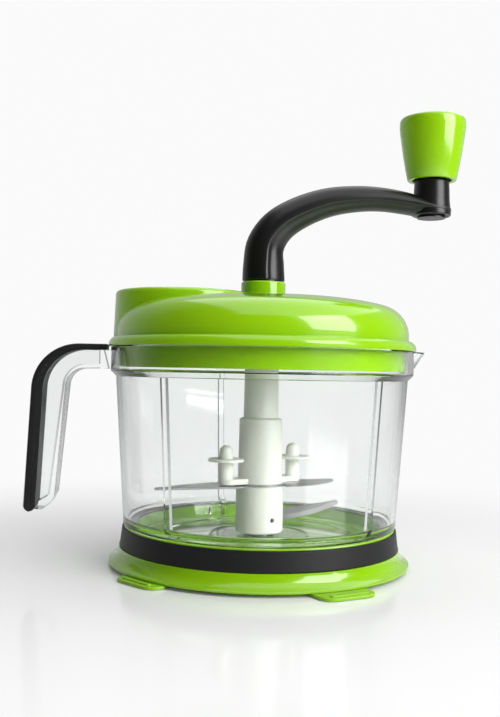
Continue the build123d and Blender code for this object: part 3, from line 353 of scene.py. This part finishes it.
print("crank arm")
arm = {
    # x, z, direction in degrees, half width, height above and below the crease
    "stations": [
        (0.0, 155.1, 90, 11.5, 11.5, 11.5),
        (0.0, 156.0, 90, 11.8, 11.8, 11.8),
        (0.0, 164.1, 89, 11.2, 11.5, 11.3),
        (1.4, 175.1, 72, 10.8, 11.2, 10.0),
        (8.6, 185.1, 47, 10.3, 11.0, 8.6),
        (20.8, 192.7, 33, 9.9, 10.6, 7.4),
        (36.3, 198.5, 19, 9.5, 9.8, 6.4),
        (52.4, 201.0, 7, 9.2, 8.9, 5.6),
        (66.5, 201.3, -2, 9.0, 8.1, 5.2),
        (80.7, 200.0, -9, 9.6, 7.0, 5.2),
        (88.6, 198.6, -8, 10.5, 5.6, 4.9),
        (95.4, 197.8, -4, 10.9, 4.6, 4.1),
        (101.0, 197.4, -2, 9.2, 3.9, 3.7),
        (104.4, 197.2, 0, 5.4, 3.2, 3.3),
        (105.6, 197.1, 0, 2.2, 1.9, 2.0),
    ],
    "rings": 64, "points": 44,
    # a fine groove along both sides, and a slimmer underside below it
    "groove": -0.30, "grooveDepth": 0.11, "grooveWidth": 0.16, "under": 0.87, "flat": 1.35,
    "post": [(0, 194.4), (10.9, 194.4, 0.7), (10.7, 197.5), (10.1, 203.0, 3.0), (9.9, 209.0), (9.7, 213.3, 0.4),
             (9.2, 215.6, 0.4), (0, 215.6)],
    "postAt": (94.8, 0), "postSteps": 64,
}
shape = bmesh.new()
rings = []
for k in range(arm["rings"] + 1):
    x, z, angle, half, above, below = between(arm["stations"], k / arm["rings"])
    up = Vector((-sin(radians(angle)), 0, cos(radians(angle))))
    ring = []
    for j in range(arm["points"]):
        a = 2 * pi * j / arm["points"]
        lift = above * sin(a) if sin(a) > 0 else below * -abs(sin(a)) ** arm["flat"]
        side = 1 - arm["grooveDepth"] * max(0, 1 - abs(sin(a) - arm["groove"]) / arm["grooveWidth"])
        if sin(a) < arm["groove"]:
            side *= arm["under"]
        ring.append(Vector((x, half * side * cos(a), z)) + up * lift)
    rings.append(ring)
skin(shape, rings)
turn(shape, arm["post"], arm["postAt"], arm["postSteps"])
finishPiece("crankArmForm", shape, "black_plastic", "crank", "crank_arm", corner=50)

print("grip strip")
strip = {
    "top": 118.0, "outTop": 124.4, "outBottom": 127.2, "corner": 25.0, "bottom": 28.0, "start": 84.8,
    "topDepth": 3.2, "sideDepth": 6.4,
    "half": 10.5, "innerHalf": 9.6, "share": 0.62,   # the outer share of the depth is the wider one
    "edge": 1.6, "step": 0.3, "steps": 22, "sideSteps": 8, "endSteps": 8, "endAngle": 86, "endTaper": 0.06,
}


# the strip's line from the bracket over the corner to the lower end, on its outside or, at inset 1, its inside
def stripLine(inset):
    side = inset * strip["sideDepth"]
    outer, low = strip["outTop"] - side, strip["outBottom"] - side
    bend = strip["corner"] - side / 2
    high = strip["top"] - inset * strip["topDepth"]
    line = [Vector((-strip["start"], high)), Vector((-(strip["start"] + outer - bend) / 2, high))]
    for k in range(strip["steps"] + 1):
        a = pi / 2 * k / strip["steps"]
        line.append(Vector((-outer + bend - bend * sin(a), high - bend + bend * cos(a))))
    corner, end = line[-1].copy(), Vector((-low, strip["bottom"] + strip["sideDepth"] / 2))
    for k in range(1, strip["sideSteps"] + 1):
        line.append(corner.lerp(end, k / strip["sideSteps"]))
    return line


shape = bmesh.new()
outside, inside = stripLine(0.0), stripLine(1.0)
wide, slim, step = strip["half"], strip["innerHalf"], strip["step"]
rings = []
for a, b in zip(outside, inside):
    deep = (b - a).length
    inward = (b - a).normalized()
    cut = min(strip["edge"], deep * 0.3)
    seam = deep * strip["share"]
    side = [(0, wide - cut), (cut * 0.3, wide - cut * 0.3), (cut, wide), (seam - step, wide),
            (seam, wide - step), (seam, slim), (deep - step, slim), (deep, slim - step)]
    section = side + [(d, -y) for d, y in reversed(side)]
    rings.append([Vector((a.x + inward.x * d, y, a.y + inward.y * d)) for d, y in section])
# full-round lower end
last = outside[-1] - outside[-2]
down = Vector((last.x, 0, last.y)).normalized()
centre = (outside[-1] + inside[-1]) / 2
middle = Vector((centre.x, 0, centre.y))
lastRing = rings[-1]
for k in range(1, strip["endSteps"] + 1):
    a = radians(strip["endAngle"]) * k / strip["endSteps"]
    taper = 1 - strip["endTaper"] * sin(a)
    rings.append([
        middle + Vector(((p.x - middle.x) * cos(a), p.y * taper, (p.z - middle.z) * cos(a)))
        + down * strip["sideDepth"] / 2 * sin(a)
        for p in lastRing
    ])
skin(shape, rings)
finishPiece("gripStrip", shape, "black_rubber", "bowl", "handle_grip", corner=40)

print("blades")
# how sharply the front and the back of every arm curve, and the section they share
sickle = {"front": 2.2, "back": 2.6, "least": 0.4, "groundShare": 0.45, "keen": 0.12, "crest": 0.96, "soft": 0.1}


# a sickle-shaped arm along +X: thin ground edge at the front, flat behind
def bladeArm(shape, place, reach, values):
    root, half, thick = values["root"], values["chord"] / 2, values["thick"]
    keen, crest, soft = sickle["keen"], sickle["crest"], sickle["soft"]
    rings = []
    for k in range(values["steps"] + 1):
        t = k / values["steps"]
        x = root + (reach - root) * t
        front = -half + (half + values["sweep"]) * t ** sickle["front"]
        back = half + (values["sweep"] + values["tip"] - half) * t ** sickle["back"]
        width = max(back - front, sickle["least"])
        ground = min(values["ground"], width * sickle["groundShare"])
        ring = [(x, front, 0), (x, front, keen), (x, front + ground * crest, thick * crest),
                (x, front + ground, thick), (x, back - soft, thick), (x, back, thick - soft), (x, back, soft),
                (x, back - soft, 0)]
        rings.append([place @ Vector(p) for p in ring])
    skin(shape, rings)


upper = {
    "height": 42.4, "angle": 11.0, "chord": 21.0, "sweep": 7.0, "root": 12.0, "tip": 3.3, "ground": 4.2,
    "thick": 1.2, "steps": 28,
    "arms": [(47.0, 1.0), (60.0, -2.2)],      # reach and pitch
    "hole": 7.0, "hub": 13.7, "hubSteps": 64,
}
shape = bmesh.new()
for k, (reach, pitch) in enumerate(upper["arms"]):
    drop = (upper["chord"] / 2 + upper["sweep"] / 2) * sin(radians(abs(pitch)))
    place = (Matrix.Translation((0, 0, upper["height"] - drop))
             @ Matrix.Rotation(radians(upper["angle"] + 180 * k), 4, "Z")
             @ Matrix.Rotation(radians(pitch), 4, "X"))
    bladeArm(shape, place, reach, upper)
low, high = upper["height"], upper["height"] + upper["thick"]
turn(shape, [(upper["hole"], low), (upper["hub"], low), (upper["hub"], high), (upper["hole"], high)],
     steps=upper["hubSteps"])
finishPiece("upperBladeForm", shape, "blade_steel", "blades", "upper_blade", corner=22)

lower = {"height": 23.2, "angle": 30.0, "rise": 2.8, "pitch": 9.0, "chord": 14.4, "sweep": 4.0, "root": 9.0,
         "reach": 62.0, "tip": 3.3, "ground": 3.6, "thick": 1.2, "steps": 28}
shape = bmesh.new()
place = (Matrix.Translation((0, 0, lower["height"]))
         @ Matrix.Rotation(radians(lower["angle"]), 4, "Z")
         @ Matrix.Rotation(-radians(lower["rise"]), 4, "Y")
         @ Matrix.Rotation(radians(lower["pitch"]), 4, "X"))
bladeArm(shape, place, lower["reach"], lower)
finishPiece("lowerBladeForm", shape, "blade_steel", "blades", "lower_blade", corner=22)

print("knob")
knob = {
    "at": (94.8, 0),
    "side": [(13.6, 214.4, 0.8), (14.9, 220.6), (16.2, 228.0), (17.2, 234.6), (18.05, 240.6), (18.5, 244.6, 6.0),
             (18.3, 249.5, 4.0), (13.1, 249.5, 0.25), (13.1, 247.3)],
    "inside": [(11.0, 247.3), (11.0, 242.7), (3.06, 242.7), (3.06, 216.2), (6.0, 216.2, 0.4), (6.0, 240.1),
               (14.3, 240.1, 2.0), (12.6, 227.0), (10.9, 216.2), (10.9, 214.4, 0.6)],
    "cap": [(0, 247.3), (13.0, 247.3), (13.0, 249.35, 0.5), (12.2, 249.5, 0.6), (0, 249.0)],
}
shape = bmesh.new()
turn(shape, knob["side"] + knob["inside"], knob["at"])
finishPiece("knobForm", shape, "green_plastic", "knob", "knob", corner=32)
shape = bmesh.new()
turn(shape, knob["cap"], knob["at"], closed=False)
finishPiece("knobCapForm", shape, "green_plastic", "knob", "knob_cap", corner=32)

print("studio")


# 1 for what the camera sees straight or through the bowl, before any bounce
def straightSight(tree, sight):
    bounced = addNode(tree, "ShaderNodeMath", operation="ADD")
    straight = addNode(tree, "ShaderNodeMath", {1: 0.5}, operation="LESS_THAN")
    wire(
        tree,
        (sight.outputs["Diffuse Depth"], bounced.inputs[0]),
        (sight.outputs["Glossy Depth"], bounced.inputs[1]),
        (bounced.outputs["Value"], straight.inputs[0]),
    )
    return straight.outputs["Value"]


ground = {
    "half": 6.0, "height": -0.0003, "near": 0.02, "far": 0.42,      # where it fades into the plain backdrop
    "tone": (0.92, 0.92, 0.92), "gloss": 0.10, "shine": 0.5, "white": (0.96, 0.96, 0.96),
}
mesh = bpy.data.meshes.new("floor")
shape = bmesh.new()
bmesh.ops.create_grid(shape, x_segments=2, y_segments=2, size=ground["half"])
bmesh.ops.translate(shape, verts=shape.verts, vec=(0, 0, ground["height"]))
shape.to_mesh(mesh)
shape.free()
floor = bpy.data.objects.new("floor", mesh)
scene.collection.objects.link(floor)
floorWhite = bpy.data.materials.new("floor_white")
floorWhite.use_nodes = True
tree = floorWhite.node_tree
matt = tree.nodes["Principled BSDF"]
matt.inputs["Base Color"].default_value = (*ground["tone"], 1)
matt.inputs["Roughness"].default_value = ground["gloss"]
matt.inputs["Specular IOR Level"].default_value = ground["shine"]
place = addNode(tree, "ShaderNodeTexCoord")
away = addNode(tree, "ShaderNodeVectorMath", operation="LENGTH")
fade = addNode(tree, "ShaderNodeMapRange", {"From Min": ground["near"], "From Max": ground["far"]},
               interpolation_type="SMOOTHSTEP")
glow = addNode(tree, "ShaderNodeEmission", {"Color": (*ground["white"], 1), "Strength": 1.0})
white = addNode(tree, "ShaderNodeMath", operation="MULTIPLY")
blend = addNode(tree, "ShaderNodeMixShader")
wire(
    tree,
    (place.outputs["Object"], away.inputs[0]),
    (away.outputs["Value"], fade.inputs["Value"]),
    (straightSight(tree, addNode(tree, "ShaderNodeLightPath")), white.inputs[0]),
    (fade.outputs["Result"], white.inputs[1]),
    (white.outputs["Value"], blend.inputs["Fac"]),
    (matt.outputs["BSDF"], blend.inputs[1]),
    (glow.outputs["Emission"], blend.inputs[2]),
    (blend.outputs["Shader"], tree.nodes["Material Output"].inputs["Surface"]),
)
mesh.materials.append(floorWhite)
floor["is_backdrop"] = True

# dim studio with a pale wall behind the object; the camera sees plain white, also through the bowl
studio = {"front": 0.05, "back": 0.48, "from": -0.15, "to": 0.75, "seen": 0.96}
world = bpy.data.worlds.new("studio")
scene.world = world
world.use_nodes = True
sky = world.node_tree
backdrop = sky.nodes["Background"]
backdrop.inputs["Color"].default_value = (1, 1, 1, 1)
aim = addNode(sky, "ShaderNodeTexCoord")
split = addNode(sky, "ShaderNodeSeparateXYZ")
wall = addNode(sky, "ShaderNodeMapRange",
               {"From Min": studio["from"], "From Max": studio["to"],
                "To Min": studio["front"], "To Max": studio["back"]},
               interpolation_type="SMOOTHSTEP")
sight = addNode(sky, "ShaderNodeLightPath")
throughBowl = addNode(sky, "ShaderNodeMath", operation="MULTIPLY")
anyWhite = addNode(sky, "ShaderNodeMath", operation="MAXIMUM")
seen = addNode(sky, "ShaderNodeMix", {"B": studio["seen"]}, data_type="FLOAT")
wire(
    sky,
    (aim.outputs["Generated"], split.inputs["Vector"]),
    (split.outputs["Y"], wall.inputs["Value"]),
    (sight.outputs["Is Transmission Ray"], throughBowl.inputs[0]),
    (straightSight(sky, sight), throughBowl.inputs[1]),
    (sight.outputs["Is Camera Ray"], anyWhite.inputs[0]),
    (throughBowl.outputs["Value"], anyWhite.inputs[1]),
    (anyWhite.outputs["Value"], seen.inputs["Factor"]),
    (wall.outputs["Result"], seen.inputs["A"]),
    (seen.outputs["Result"], backdrop.inputs["Strength"]),
)

softboxes = {
    "key": {"size": (0.9, 1.0), "power": 19.5, "place": (0.90, -0.80, 0.66), "aim": (0.02, 0, 0.12)},
    "top": {"size": (2.0, 1.5), "power": 12.5, "place": (0.25, 0.0, 1.15), "aim": (0, 0, 0.1)},
}
for name, values in softboxes.items():
    data = bpy.data.lights.new(name, "AREA")
    data.shape = "RECTANGLE"
    data.size, data.size_y = values["size"]
    data.energy = values["power"]
    lamp = bpy.data.objects.new(name, data)
    scene.collection.objects.link(lamp)
    lamp.location = values["place"]
    towards = Vector(values["aim"]) - Vector(values["place"])
    lamp.rotation_euler = towards.to_track_quat("-Z", "Y").to_euler()

print("sizes")
low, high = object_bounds()
